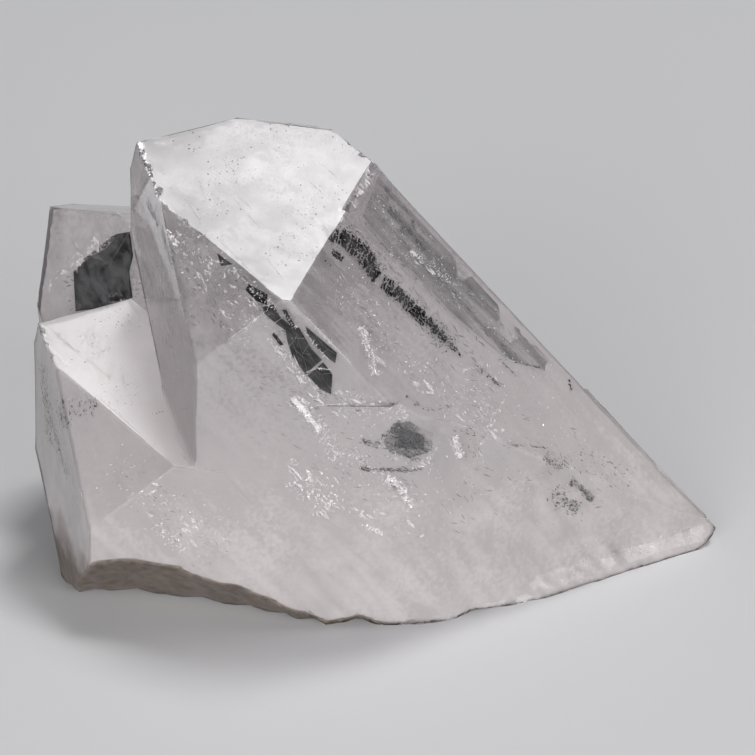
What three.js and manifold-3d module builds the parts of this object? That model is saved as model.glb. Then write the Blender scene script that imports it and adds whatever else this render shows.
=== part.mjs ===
// Clear quartz cluster: three crystals grown together side by side, broken off their matrix.
// Millimetres, +Z up. The front, where the broad faces show, looks along -Y.
import * as THREE from "three";
import { ConvexGeometry } from "three/addons/geometries/ConvexGeometry.js";
import { ImprovedNoise } from "three/addons/math/ImprovedNoise.js";
import { mergeVertices } from "three/addons/utils/BufferGeometryUtils.js";
import Module from "manifold-3d";

// How a crystal stands: lean is how far its long axis leans to the left from upright, turn is how
// far the lean is turned about the vertical, and roll turns its faces about the long axis.
const PARALLEL = { lean: 40.7, turn: -3.7, roll: -27.2 }; // degrees, for crystals grown parallel
const STRAY = { lean: 45.8, turn: -1.2, roll: -30.1 }; // degrees, a few off parallel

// Angles of the mineral itself, the same on every quartz crystal.
const FACE_COUNT = 6;
const TIP_ANGLE = 51.8; // degrees from the long axis to the normal of a tip face

// One crystal has six prism faces and six tip faces, numbered round its axis from the right.
// foot: where the axis meets the ground. sides: how far each prism face is from the axis.
// tips: how far along the axis, from the foot, the plane of each tip face crosses it.
const TALL = {
  stands: PARALLEL,
  foot: [22.3, 7.2],
  sides: [14.3, 24.6, 21.0, 16.0, 25.5, 14.5],
  tips: [79.6, 98.9, 97.1, 95.5, 81.2, 80.8],
};
const FRONT_LEFT = {
  stands: PARALLEL,
  foot: [-10.7, 8.7],
  sides: [14.5, 20.0, 16.0, 21.0, 32.0, 15.25],
  tips: [44.4, 62.0, 60.2, 64.3, 54.7, 50.2],
};
const BACK_LEFT = {
  stands: STRAY,
  foot: [3.2, 28.4],
  sides: [14.0, 16.0, 11.0, 20.0, 30.0, 14.0],
  tips: [69.6, 69.6, 84.0, 74.7, 76.4, 63.0],
};

// Low growth plates: the same faces, stepped out a little and ending sooner, on hidden sides.
const BACK_PLATE = {
  stands: PARALLEL,
  foot: TALL.foot,
  sides: [12.6, 21.0, 22.2, 14.0, 20.0, 12.0],
  tips: [70.0, 72.0, 60.0, 70.0, 70.0, 72.0],
};
const RIGHT_PLATE = {
  stands: PARALLEL,
  foot: TALL.foot,
  sides: [11.5, 25.5, 18.0, 12.0, 16.0, 11.0],
  tips: [52.0, 45.0, 60.0, 60.0, 60.0, 52.0],
};

// The break that took off the front right corner, from the ground up to the front prism edge.
const BREAK = {
  start: [-0.8, -9.2], // on the ground, a little in front of the front face
  end: [48.0, 16.1], // on the ground, at the right tip
  height: 36, // above this the break has left the crystal
  bulge: 1.8, // how far its foot bulges out
  early: 0.5, // the lower, the nearer to the start it bulges most
  fall: 3.0, // how far its top falls back
  falls: [0.08, 0.34], // shares of its length between which that begins
  blend: 2.8, // how softly it runs out into the front face
  clear: 0.25, // how far outside the front face it ends
};
const SHELL_RIPPLES = { height: 0.16, apart: 8.2, from: [8, 34] }; // round one point of the break
const BREAK_SWELLS = { height: 0.4, across: 12.0 };
const CRUMBS = { height: 0.8, across: 3.2, from: 24, full: 32 }; // near the top of the break
// The ledge at its foot: from and full are the shares of the break's length where it starts to rise
// and where it is at its full height, and edge is how softly it is rounded off.
const LEDGE = { height: 2.7, depth: 1.2, from: 0.3, full: 0.6, edge: 0.4 };
const LEDGE_LUMPS = { height: 1.0, across: 4.0 };
const BREAK_NET = { step: 1.9, margin: 20, thickness: 30 }; // what the broken face is laid out on

// The outline in which the broken root meets the ground. Outside it the break rises at a slope.
const GROUND_OUTLINE = [
  [-46.2, 7.0],
  [-43.2, 1.9],
  [-35.6, 2.6],
  [-27.0, 0.9],
  [-16.5, -2.4],
  [-9.0, -5.6],
  [-5.5, -8.0],
  [-0.4, -8.0],
  [4.5, -7.4],
  [6.5, -6.2],
  [9.5, -8.4],
  [26.0, -2.0],
  [44.0, 8.5],
  [48.3, 11.5],
  [48.6, 18.5],
  [43.0, 24.5],
  [32.0, 27.0],
  [14.0, 29.0],
  [4.0, 35.0],
  [-12.0, 37.0],
  [-27.0, 33.0],
  [-36.0, 21.0],
];
const UNDERCUT_SLOPE = 1.3; // rise of the broken root for each millimetre outside the outline
const UNDERCUT_LUMPS = { height: 0.8, across: 3.6 };
const UNDERCUT_RIPPLES = { height: 0.3, apart: 2.4 };
const HOLLOWS = { height: 2.6, across: 9.0, sunk: 0.45 }; // under the cluster
const REST_PATCH = { at: [-4, 10], radius: [13, 7], fade: 0.6 }; // flat area that it rests on
const ROOT_NET = { step: 2.1, size: [124, 88], middle: [0, 14], thickness: 20 };
const GROUND_BELOW = 8; // how far the crystals run below the ground before they are cut

// The narrow bevel on the edge right of the top face.
const BEVEL = { depth: 0.16, share: 0.34, reach: 4 }; // share of the edge that has it

// Bruises on the edges, as uneven pebbles that take a bite out of them.
const CHIP_RADIUS = 0.9;
const CHIP_SHAPE = [1.5, 0.8, 0.7];
const CHIP_VARIES = [0.75, 0.35, 2.4]; // usual share of the radius, how much it varies and how fast
const CHIP_TURNS = [1.3, 2.1, 0.7]; // radians about x, y and z from one bruise to the next

const QUARTZ = { color: 0xd9d3d8, roughness: 0.08, metalness: 0.0 };

const wasm = await Module();
wasm.setup();

// A closed geometry as a solid that can be joined and cut.
function solidOf(geometry) {
  const bare = geometry.clone();
  bare.deleteAttribute("normal");
  bare.deleteAttribute("uv");
  const merged = mergeVertices(bare, 1e-4);
  return new wasm.Manifold(
    new wasm.Mesh({
      numProp: 3,
      vertProperties: merged.attributes.position.array,
      triVerts: new Uint32Array(merged.index.array),
    }),
  );
}

// A solid as a geometry with flat faces.
function geometryOf(solid) {
  const mesh = solid.getMesh();
  const positions = new Float32Array(mesh.numVert * 3);
  for (let i = 0; i < mesh.numVert; i++) {
    const start = i * mesh.numProp;
    positions.set(mesh.vertProperties.subarray(start, start + 3), i * 3);
  }
  const geometry = new THREE.BufferGeometry();
  geometry.setAttribute("position", new THREE.BufferAttribute(positions, 3));
  geometry.setIndex(new THREE.BufferAttribute(mesh.triVerts, 1));
  const flat = geometry.toNonIndexed();
  flat.computeVertexNormals();
  return flat;
}

// A direction in a crystal's own axes, with its long axis up, turned to the way it stands.
function turned(direction, { lean, turn, roll }) {
  const matrix = new THREE.Matrix4()
    .makeRotationZ(THREE.MathUtils.degToRad(turn))
    .multiply(new THREE.Matrix4().makeRotationY(THREE.MathUtils.degToRad(-lean)))
    .multiply(new THREE.Matrix4().makeRotationZ(THREE.MathUtils.degToRad(roll)));
  return direction.transformDirection(matrix);
}

// Outward normal of face number k: a prism face at 90 degrees to the axis, or a tip face.
function faceNormal(k, angle, stands) {
  const round = (k * 2 * Math.PI) / FACE_COUNT;
  const fromAxis = THREE.MathUtils.degToRad(angle);
  const own = new THREE.Vector3(
    Math.sin(fromAxis) * Math.cos(round),
    Math.sin(fromAxis) * Math.sin(round),
    Math.cos(fromAxis),
  );
  return turned(own, stands);
}

function planeThrough(normal, point) {
  return new THREE.Plane().setFromNormalAndCoplanarPoint(normal, point);
}

// The twelve face planes of a crystal: prism faces first, then tip faces.
function facesOf(crystal) {
  const foot = new THREE.Vector3(crystal.foot[0], crystal.foot[1], 0);
  const longAxis = turned(new THREE.Vector3(0, 0, 1), crystal.stands);
  const prism = crystal.sides.map((distance, k) => {
    const normal = faceNormal(k, 90, crystal.stands);
    return planeThrough(normal, foot.clone().addScaledVector(normal, distance));
  });
  const tip = crystal.tips.map((length, k) => {
    const normal = faceNormal(k, TIP_ANGLE, crystal.stands);
    return planeThrough(normal, foot.clone().addScaledVector(longAxis, length));
  });
  return [...prism, ...tip];
}

// The point where three planes meet, or null where two of them are parallel.
function meetingPoint(a, b, c) {
  const bc = new THREE.Vector3().crossVectors(b.normal, c.normal);
  const ca = new THREE.Vector3().crossVectors(c.normal, a.normal);
  const ab = new THREE.Vector3().crossVectors(a.normal, b.normal);
  const volume = a.normal.dot(bc);
  if (Math.abs(volume) < 1e-6) return null;
  return new THREE.Vector3()
    .addScaledVector(bc, -a.constant)
    .addScaledVector(ca, -b.constant)
    .addScaledVector(ab, -c.constant)
    .divideScalar(volume);
}

// The solid inside a set of planes whose normals point outwards.
function convexSolid(planes) {
  const corners = [];
  for (let i = 0; i < planes.length; i++)
    for (let j = i + 1; j < planes.length; j++)
      for (let k = j + 1; k < planes.length; k++) {
        const point = meetingPoint(planes[i], planes[j], planes[k]);
        if (!point || planes.some((plane) => plane.distanceToPoint(point) > 1e-5)) continue;
        if (corners.every((corner) => corner.distanceTo(point) > 1e-3)) corners.push(point);
      }
  return solidOf(new ConvexGeometry(corners));
}

function crystalSolid(crystal) {
  const below = new THREE.Plane(new THREE.Vector3(0, 0, -1), -GROUND_BELOW);
  return convexSolid([...facesOf(crystal), below]);
}

const noise = new ImprovedNoise();

// Soft lumps about one size across with smaller ones on them, about -1 to 1 times their height.
function lumps(x, y, { height, across }) {
  let sum = 0;
  for (const part of [1, 2, 4]) {
    const scale = part / across;
    sum += noise.noise(x * scale, y * scale, part) / part;
  }
  return height * sum;
}

// Sharp crests between round hollows, from 0 to their height, as a shell-like break leaves them.
function ripples(distance, { height, apart }) {
  return height * Math.abs(Math.sin((Math.PI * distance) / apart));
}

// A block whose top is a broken surface: relief gives the height over its own x and y.
function brokenBlock(width, depth, thickness, step, relief) {
  const columns = Math.round(width / step);
  const rows = Math.round(depth / step);
  const block = new THREE.BoxGeometry(width, depth, thickness, columns, rows, 1);
  block.translate(0, 0, -thickness / 2);
  const positions = block.attributes.position;
  for (let i = 0; i < positions.count; i++)
    if (positions.getZ(i) > -thickness / 2)
      positions.setZ(i, relief(positions.getX(i), positions.getY(i)));
  return block;
}

// How far a point of the ground lies outside the outline of the root, 0 inside it.
function outsideOutline(x, y) {
  const point = new THREE.Vector3(x, y, 0);
  const nearest = new THREE.Vector3();
  const side = new THREE.Line3();
  let distance = Infinity;
  let inside = false;
  GROUND_OUTLINE.forEach(([x1, y1], i) => {
    const [x2, y2] = GROUND_OUTLINE[(i + 1) % GROUND_OUTLINE.length];
    side.start.set(x1, y1, 0);
    side.end.set(x2, y2, 0);
    side.closestPointToPoint(point, true, nearest);
    distance = Math.min(distance, nearest.distanceTo(point));
    if (y1 > y !== y2 > y && x < x1 + ((y - y1) * (x2 - x1)) / (y2 - y1)) inside = !inside;
  });
  return inside ? 0 : distance;
}

// What is cut away below the cluster. Where the relief would be below the ground, it is flat.
function rootRelief(x, y) {
  const fromPatch = Math.hypot(
    (x - REST_PATCH.at[0]) / REST_PATCH.radius[0],
    (y - REST_PATCH.at[1]) / REST_PATCH.radius[1],
  );
  const fade = THREE.MathUtils.smoothstep(fromPatch, 1, 1 + REST_PATCH.fade);
  const hollow = fade * (lumps(x, y, HOLLOWS) - HOLLOWS.sunk);
  const outside = outsideOutline(x, y);
  if (outside === 0) return Math.max(0, hollow);
  const uneven = lumps(x, y, UNDERCUT_LUMPS) + ripples(outside, UNDERCUT_RIPPLES);
  return Math.max(0, hollow, UNDERCUT_SLOPE * outside + uneven);
}

function rootCutter() {
  const [width, depth] = ROOT_NET.size;
  const [middleX, middleY] = ROOT_NET.middle;
  const relief = (x, y) => rootRelief(x + middleX, y + middleY);
  const block = brokenBlock(width, depth, ROOT_NET.thickness, ROOT_NET.step, relief);
  block.translate(middleX, middleY, 0);
  return solidOf(block);
}

// How far inwards from its chord plane the broken corner is cut, run along it and rise up it.
function breakRelief(run, rise, length) {
  const share = THREE.MathUtils.clamp(run / length, 0, 1);
  const height = THREE.MathUtils.clamp(rise / BREAK.height, 0, 1);
  const bulge = BREAK.bulge * Math.sin(Math.PI * share ** BREAK.early) * (1 - height);
  const fall = BREAK.fall * THREE.MathUtils.smoothstep(share, ...BREAK.falls) * height;
  const fromShell = Math.hypot(run - SHELL_RIPPLES.from[0], rise - SHELL_RIPPLES.from[1]);
  const crumbly = THREE.MathUtils.smoothstep(rise, CRUMBS.from, CRUMBS.full);
  const ledgeTop =
    LEDGE.height * THREE.MathUtils.smoothstep(share, LEDGE.from, LEDGE.full) +
    lumps(run, LEDGE.height, LEDGE_LUMPS);
  const ledge = 1 - THREE.MathUtils.smoothstep(rise, ledgeTop - LEDGE.edge, ledgeTop + LEDGE.edge);
  const swells = lumps(run, rise, BREAK_SWELLS) + ripples(fromShell, SHELL_RIPPLES);
  const crumbs = crumbly * lumps(run, rise, CRUMBS);
  return fall - bulge + swells + crumbs - LEDGE.depth * ledge;
}

// The lower of two heights, rounded off where they cross.
function softMin(a, b, blend) {
  return -blend * Math.log(Math.exp(-a / blend) + Math.exp(-b / blend));
}

// The broken corner at the front right, as a block that lies outside it.
function cornerCutter() {
  const start = new THREE.Vector3(BREAK.start[0], BREAK.start[1], 0);
  const end = new THREE.Vector3(BREAK.end[0], BREAK.end[1], 0);
  const along = end.clone().sub(start).normalize();
  const up = new THREE.Vector3(0, 0, 1);
  const outwards = new THREE.Vector3().crossVectors(along, up);
  const front = facesOf(TALL)[5];
  const length = start.distanceTo(end);
  const width = length + 2 * BREAK_NET.margin;
  const height = BREAK.height + BREAK_NET.margin;
  const middleRise = BREAK.height - height / 2;
  // x of the block runs along the ground line and y runs down, so that its top looks inwards.
  const relief = (x, y) => {
    const run = x + length / 2;
    const rise = middleRise - y;
    const point = start.clone().addScaledVector(along, run).addScaledVector(up, rise);
    const toFront = -front.distanceToPoint(point) / front.normal.dot(outwards);
    return -softMin(toFront + BREAK.clear, -breakRelief(run, rise, length), BREAK.blend);
  };
  const block = brokenBlock(width, height, BREAK_NET.thickness, BREAK_NET.step, relief);
  const place = new THREE.Matrix4().makeBasis(along, up.clone().negate(), outwards.clone().negate());
  const middle = start.clone().addScaledVector(along, length / 2).addScaledVector(up, middleRise);
  place.setPosition(middle);
  block.applyMatrix4(place);
  return solidOf(block);
}

// The corner of a crystal where three of its faces meet, each given as [kind, number].
function corner(crystal, ...names) {
  const faces = facesOf(crystal);
  const picked = names.map(([kind, k]) => faces[kind === "prism" ? k : k + FACE_COUNT]);
  return meetingPoint(...picked);
}

// Takes a narrow bevel off a stretch of the straight edge between two faces.
function bevelCutter(from, to, outwards) {
  const along = to.clone().sub(from).normalize();
  const across = new THREE.Vector3().crossVectors(along, outwards);
  return convexSolid([
    planeThrough(outwards.clone().negate(), from.clone().addScaledVector(outwards, -BEVEL.depth)),
    planeThrough(outwards, from.clone().addScaledVector(outwards, BEVEL.reach)),
    planeThrough(along, to),
    planeThrough(along.clone().negate(), from),
    planeThrough(across, from.clone().addScaledVector(across, BEVEL.reach)),
    planeThrough(across.clone().negate(), from.clone().addScaledVector(across, -BEVEL.reach)),
  ]);
}

// One bruise. Its number sets how it is turned and how large it is.
function chipCutter(point, size, number) {
  const [usual, varies, pace] = CHIP_VARIES;
  const radius = CHIP_RADIUS * size * (usual + varies * Math.sin(number * pace));
  const [aboutX, aboutY, aboutZ] = CHIP_TURNS;
  const pebble = new THREE.IcosahedronGeometry(radius, 0);
  pebble.scale(...CHIP_SHAPE);
  pebble.rotateX(number * aboutX);
  pebble.rotateY(number * aboutY);
  pebble.rotateZ(number * aboutZ);
  pebble.translate(point.x, point.y, point.z);
  return solidOf(pebble);
}

let cluster = crystalSolid(TALL);
for (const crystal of [FRONT_LEFT, BACK_LEFT, BACK_PLATE, RIGHT_PLATE])
  cluster = cluster.add(crystalSolid(crystal));
cluster = cluster.subtract(cornerCutter());
cluster = cluster.subtract(rootCutter());

// The top face of the tall crystal, from its corner over the left face round to the right.
const topFace = ["tip", 0];
const topLeft = corner(TALL, topFace, ["tip", 2], ["tip", 4]);
const topLeftFront = corner(TALL, topFace, ["tip", 4], ["tip", 5]);
const topFront = corner(TALL, topFace, ["tip", 5], ["prism", 0]);
const topRight = corner(TALL, topFace, ["prism", 0], ["prism", 1]);
const topBack = corner(TALL, topFace, ["prism", 1], ["tip", 1]);
const frontLeftHigh = corner(FRONT_LEFT, topFace, ["tip", 2], ["tip", 4]);
const frontLeftLow = corner(FRONT_LEFT, topFace, ["tip", 4], ["tip", 5]);

const bevelNormal = faceNormal(0, 90, PARALLEL).add(faceNormal(0, TIP_ANGLE, PARALLEL)).normalize();
const bevelEnd = topRight.clone().lerp(topFront, BEVEL.share);
cluster = cluster.subtract(bevelCutter(topRight, bevelEnd, bevelNormal));

// Rows of bruises: the two ends of an edge, the places along it and the size.
const BRUISES = [
  [topLeft, topLeftFront, [0.16, 0.3, 0.42, 0.55, 0.7, 0.86], 1.0],
  [topLeftFront, topFront, [0.05, 0.2], 0.6],
  [topRight, topBack, [0.25, 0.6], 0.7],
  [frontLeftHigh, frontLeftLow, [0.2, 0.5, 0.78], 0.8],
];
let number = 0;
for (const [from, to, places, size] of BRUISES)
  for (const place of places) {
    number += 1;
    cluster = cluster.subtract(chipCutter(from.clone().lerp(to, place), size, number));
  }

// The origin goes to the middle of the box on the ground.
const geometry = geometryOf(cluster);
geometry.computeBoundingBox();
const middle = geometry.boundingBox.getCenter(new THREE.Vector3());
geometry.translate(-middle.x, -middle.y, -geometry.boundingBox.min.z);

const quartzCluster = new THREE.Mesh(geometry, new THREE.MeshStandardMaterial(QUARTZ));
quartzCluster.name = "quartz_cluster";

const part = new THREE.Group();
part.add(quartzCluster);

export default part;
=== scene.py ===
import math
import random

import bmesh
import bpy
import numpy as np
from mathutils import Matrix, Vector, noise
from mathutils.bvhtree import BVHTree
from mathutils.geometry import delaunay_2d_cdt


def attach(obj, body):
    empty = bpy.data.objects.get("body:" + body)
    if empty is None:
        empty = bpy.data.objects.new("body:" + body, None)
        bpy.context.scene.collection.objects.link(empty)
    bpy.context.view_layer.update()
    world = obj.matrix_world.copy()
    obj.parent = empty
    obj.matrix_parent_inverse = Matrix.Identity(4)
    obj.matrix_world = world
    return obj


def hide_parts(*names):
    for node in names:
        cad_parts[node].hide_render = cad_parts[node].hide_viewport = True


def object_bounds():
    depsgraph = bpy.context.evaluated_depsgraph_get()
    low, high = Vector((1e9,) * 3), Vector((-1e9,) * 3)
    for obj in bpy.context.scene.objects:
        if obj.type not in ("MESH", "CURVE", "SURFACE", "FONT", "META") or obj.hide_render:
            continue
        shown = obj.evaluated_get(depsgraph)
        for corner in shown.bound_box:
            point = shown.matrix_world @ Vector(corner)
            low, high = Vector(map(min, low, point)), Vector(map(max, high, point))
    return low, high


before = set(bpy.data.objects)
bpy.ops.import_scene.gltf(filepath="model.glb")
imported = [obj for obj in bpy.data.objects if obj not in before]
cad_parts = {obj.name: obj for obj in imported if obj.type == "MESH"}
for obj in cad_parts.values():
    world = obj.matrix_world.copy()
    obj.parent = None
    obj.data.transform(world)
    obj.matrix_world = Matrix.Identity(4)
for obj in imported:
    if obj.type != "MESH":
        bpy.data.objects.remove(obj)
cad_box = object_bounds()

# The clear crystals
# Three quartz crystals that grew together and broke off their rock as one piece. The growth faces are flat
# and glassy, the top faces etched with small pits, and the corner and the root are rough where they broke.

MM = 0.001  # metres
# How the crystals stand, in degrees: lean to the left, turn about the vertical, roll about the long axis.
PARALLEL = (40.7, -3.7, -27.2)
STRAY = (45.8, -1.2, -30.1)  # the crystal at the back left, a few degrees off the others
PRISM = 90  # degrees from the long axis to the normal of a prism face
TIP = 51.8  # the same for a tip face, as on every quartz crystal
FLAT_WITHIN = math.cos(math.radians(0.8))  # of a growth face's direction
BEVEL_AREA = 15  # square mm, a flat face this large is a growth face too
SLIVER_AREA = 2  # square mm, a smaller face never is
ETCHED_AREA = 20  # square mm, only larger faces have pits and hairlines
WELD = 0.004  # mm within which points of the solid are one
COPLANAR = 0.4  # degrees between triangles of one flat face
ROOT_TOP = 13.5  # mm, no part of the broken root is higher
EDGE_SPACING = 0.7  # mm between the places where an edge can be worn
EDGE_WEAR = (0.01, 2.7)  # mm that an edge is usually rounded off, and ups and downs of that to a mm
NICK = (0.07, 0.9)  # mm, depth of the deepest nicks in an edge, and nicks to a mm
NICK_FROM = 0.4  # level of the noise from which an edge is nicked
WORN_BAND = 0.12  # mm, how far the wear of an edge reaches into the faces beside it
BREAK_ROUGH = (0.1, 0.7)  # mm, height of the fine lumps on the broken surfaces, and lumps to a mm
BRUISE_ROUGH = (0.16, 1.6)  # the same in the bruises beside the top faces
BRUISE_REACH = (2, 25)  # mm, how far the bruises reach from a top face's level, and from its middle
LUMP_NOISE = (0.8, 2.1, 3)  # of the lumps: how smooth, the step from one octave to the next, octaves
CREASES = (0.35, 0.6)  # depth of the creases between the lumps, and creases to a lump
PATCH_LEVEL = 0.01  # mm, the flat patch that the cluster rests on is below this and stays flat
PITS = (0.07, 1.3)  # etch pits on a square mm of a growth face, and of a top face
HAIRLINES = (0.01, 0.04)  # scratches, the same
PIT_RADIUS = (0.05, 0.14)  # mm: smallest, and most added to it
PIT_WIDTH = 0.8  # of its length
PIT_DEPTH = 0.26  # of its radius
PIT_ROOM = 1.5  # times the radii of two pits, the least distance between them
PIT_CHANCE = (0.06, 1.8)  # of a pit outside the clusters, and how much likelier in them
PIT_CLUSTERS = 0.17  # clusters to a mm, roughly
PIT_TRIES = 9000  # at most, on one face
HAIRLINE_SIZE = (0.6, 7, 0.04, 0.02)  # mm: shortest half length, most added to it, half width, depth
HAIRLINE_TURN = (-0.48, 0.12)  # radians from the way down the face, and how much it varies
MARK_ROOM = 1.6  # times the half width of a pit or hairline, its least distance from the face's rim
MARK_FLOOR = 0.45  # its flat middle, as a share of it
MARK_CORNERS = 5


def standing(lean, turn, roll):
    """The rotation that makes a crystal stand as it does."""
    about_z = Matrix.Rotation(math.radians(turn), 3, "Z")
    about_y = Matrix.Rotation(math.radians(-lean), 3, "Y")
    return about_z @ about_y @ Matrix.Rotation(math.radians(roll), 3, "Z")


def face_direction(stands, number, from_axis):
    """The way that one of a crystal's six prism faces or six tip faces looks."""
    around = math.radians(60 * number)
    tilt = math.radians(from_axis)
    own = Vector((math.sin(tilt) * math.cos(around), math.sin(tilt) * math.sin(around), math.cos(tilt)))
    return standing(*stands) @ own


LONG_AXIS = standing(*PARALLEL) @ Vector((0, 0, 1))
TOP = face_direction(PARALLEL, 0, TIP)
growth_directions = [
    face_direction(stands, number, from_axis)
    for stands in (PARALLEL, STRAY)
    for number in range(6)
    for from_axis in (PRISM, TIP)
]


def is_grown(face):
    """Whether a face of the solid is a flat growth face. All the others are broken."""
    area = face.calc_area() / MM**2
    parallel = any(face.normal.dot(way) > FLAT_WITHIN for way in growth_directions)
    return area > BEVEL_AREA or (area > SLIVER_AREA and parallel)


def is_flat(face):
    return not face.smooth


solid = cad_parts["quartz_cluster"]
bm = bmesh.new()
bm.from_mesh(solid.data)
bmesh.ops.remove_doubles(bm, verts=bm.verts, dist=WELD * MM)
solid_tree = BVHTree.FromBMesh(bm)
bmesh.ops.dissolve_limit(bm, angle_limit=math.radians(COPLANAR), verts=bm.verts, edges=bm.edges)
bm.normal_update()
for face in bm.faces:
    face.smooth = not is_grown(face)

# The flat faces as they are before any wear: normal, middle and corners, in mm.
flat_faces = [
    (face.normal.copy(), face.calc_center_median() / MM, [vert.co / MM for vert in face.verts])
    for face in bm.faces
    if is_flat(face)
]

# An edge between two flat faces is split up, and its points go in a little where it is worn.
for edge in list(bm.edges):
    if not all(is_flat(face) for face in edge.link_faces) or edge.calc_face_angle_signed() < 0:
        continue
    inwards = -(edge.link_faces[0].normal + edge.link_faces[1].normal).normalized()
    first = edge.verts[0]
    for left in range(round(edge.calc_length() / MM / EDGE_SPACING), 1, -1):
        _, point = bmesh.utils.edge_split(edge, first, 1 / left)
        nick = NICK[0] * max(0, noise.noise(point.co / MM * NICK[1]) - NICK_FROM) / (1 - NICK_FROM)
        wear = EDGE_WEAR[0] * (1 + noise.noise(point.co / MM * EDGE_WEAR[1]))
        point.co += inwards * (wear + nick) * MM
        first = point


def marks_on(size, pits, hairlines, seed):
    """Pits in loose clusters, and hairlines: place, half length, half width, turn and depth, in mm."""
    chance = random.Random(seed)
    shortest, longer, width, depth = HAIRLINE_SIZE
    marks = []
    for _ in range(hairlines):
        place = Vector((chance.uniform(0, size.x), chance.uniform(0, size.y)))
        length = shortest + longer * chance.random() ** 2
        marks.append((place, length, width, chance.gauss(*HAIRLINE_TURN), depth))
    tries = 0
    while pits > 0 and tries < PIT_TRIES:
        tries += 1
        place = Vector((chance.uniform(0, size.x), chance.uniform(0, size.y)))
        radius = PIT_RADIUS[0] + PIT_RADIUS[1] * chance.random() ** 4
        clustered = max(0, noise.noise(Vector((place.x * PIT_CLUSTERS, place.y * PIT_CLUSTERS, seed))))
        if chance.random() > PIT_CHANCE[0] + PIT_CHANCE[1] * clustered:
            continue
        if all((place - mark[0]).length > (radius + mark[2]) * PIT_ROOM for mark in marks):
            marks.append((place, radius, radius * PIT_WIDTH, chance.uniform(0, math.pi), radius * PIT_DEPTH))
            pits -= 1
    return marks


def etched(bm, face, pits, hairlines, seed):
    """Fills a flat face with triangles round its pits and hairlines, and sinks their middles."""
    normal = face.normal.copy()
    down = (normal * LONG_AXIS.dot(normal) - LONG_AXIS).normalized()
    across = normal.cross(down)
    rim = [Vector((vert.co.dot(down), vert.co.dot(across))) / MM for vert in face.verts]
    low = Vector((min(point.x for point in rim), min(point.y for point in rim)))
    high = Vector((max(point.x for point in rim), max(point.y for point in rim)))
    level = sum(vert.co.dot(normal) for vert in face.verts) / len(face.verts)
    starts = np.array([tuple(point) for point in rim])
    steps = np.roll(starts, -1, axis=0) - starts
    slopes = steps[:, 0] / np.where(steps[:, 1] == 0, 1e-9, steps[:, 1])

    def well_inside(point, room):
        spot = np.array(tuple(point))
        along = np.clip(((spot - starts) * steps).sum(1) / np.maximum((steps**2).sum(1), 1e-9), 0, 1)
        clear = np.hypot(*(starts + steps * along[:, None] - spot).T).min()
        crossing = (starts[:, 1] > spot[1]) != (starts[:, 1] + steps[:, 1] > spot[1])
        right = spot[0] < starts[:, 0] + slopes * (spot[1] - starts[:, 1])
        return (crossing & right).sum() % 2 == 1 and clear > room

    points = []
    depths = []
    creases = []
    for before, point, after in zip(rim[-1:] + rim, rim, rim[1:] + rim[:1]):
        onwards = (after - before).normalized()
        beside = Vector((-onwards.y, onwards.x)) * WORN_BAND
        points += [spot for spot in (point - beside, point + beside) if well_inside(spot, WORN_BAND / 2)]
    depths += [0] * len(points)
    for place, length, width, turn, depth in marks_on(high - low, pits, hairlines, seed):
        along = Vector((math.cos(turn), math.sin(turn)))
        beside = Vector((-along.y, along.x))
        ends = [low + place + along * length * end for end in (-1, 0, 1)]
        if not all(well_inside(end, width * MARK_ROOM) for end in ends):
            continue
        for share, sunk in ((1, 0), (MARK_FLOOR, depth)):
            first = len(rim) + len(points)
            for corner in range(MARK_CORNERS):
                angle = corner * math.tau / MARK_CORNERS
                out = along * length * math.cos(angle) + beside * width * math.sin(angle)
                points.append(low + place + out * share)
                depths.append(sunk)
                creases.append((first + corner, first + (corner + 1) % MARK_CORNERS))
    count = len(rim)
    outline = [list(range(count))]
    made, _, triangles, origins, _, _ = delaunay_2d_cdt(rim + points, creases, outline, 1, 1e-6)
    verts = []
    for place, origin in zip(made, origins):
        if origin and origin[0] < count:
            verts.append(face.verts[origin[0]])
        else:
            sunk = level / MM - (depths[origin[0] - count] if origin else 0)
            verts.append(bm.verts.new((down * place.x + across * place.y + normal * sunk) * MM))
    bm.faces.remove(face)
    for triangle in triangles:
        bm.faces.new([verts[i] for i in triangle])


large_faces = [face for face in bm.faces if is_flat(face) and face.calc_area() > ETCHED_AREA * MM**2]
for number, face in enumerate(large_faces):
    top = face.normal.dot(TOP) > FLAT_WITHIN
    area = face.calc_area() / MM**2
    etched(bm, face, round(area * PITS[top]), round(area * HAIRLINES[top]), number)

# The broken surfaces get a finer net, lumpy all over except at its rim.
inner = [edge for edge in bm.edges if not any(is_flat(face) for face in edge.link_faces)]
bmesh.ops.subdivide_edges(bm, edges=inner, cuts=2, use_grid_fill=True)
bmesh.ops.triangulate(bm, faces=[face for face in bm.faces if not is_flat(face) and len(face.verts) > 3])
bm.normal_update()
tops = [middle for normal, middle, _ in flat_faces if normal.dot(TOP) > FLAT_WITHIN]
off, away = BRUISE_REACH
for vert in bm.verts:
    if any(is_flat(face) for face in vert.link_faces) or vert.co.z < PATCH_LEVEL * MM:
        continue
    spot = vert.co / MM
    bruised = any(abs((spot - top).dot(TOP)) < off and (spot - top).length < away for top in tops)
    tall, often = BRUISE_ROUGH if bruised else BREAK_ROUGH
    lump = noise.fractal(spot * often, *LUMP_NOISE)
    lump -= CREASES[0] * abs(noise.noise(spot * often * CREASES[1]))
    vert.co += vert.normal * tall * lump * MM
    vert.co = Vector([max(low, min(high, value)) for value, low, high in zip(vert.co, *cad_box)])


def piece(name, shape):
    """Makes a piece of the cluster from a finished bmesh."""
    mesh = bpy.data.meshes.new(name)
    shape.to_mesh(mesh)
    shape.free()
    made = bpy.data.objects.new(name, mesh)
    bpy.context.scene.collection.objects.link(made)
    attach(made, "root")
    return made


crystals = piece("clear_crystals", bm)
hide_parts("quartz_cluster")


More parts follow.
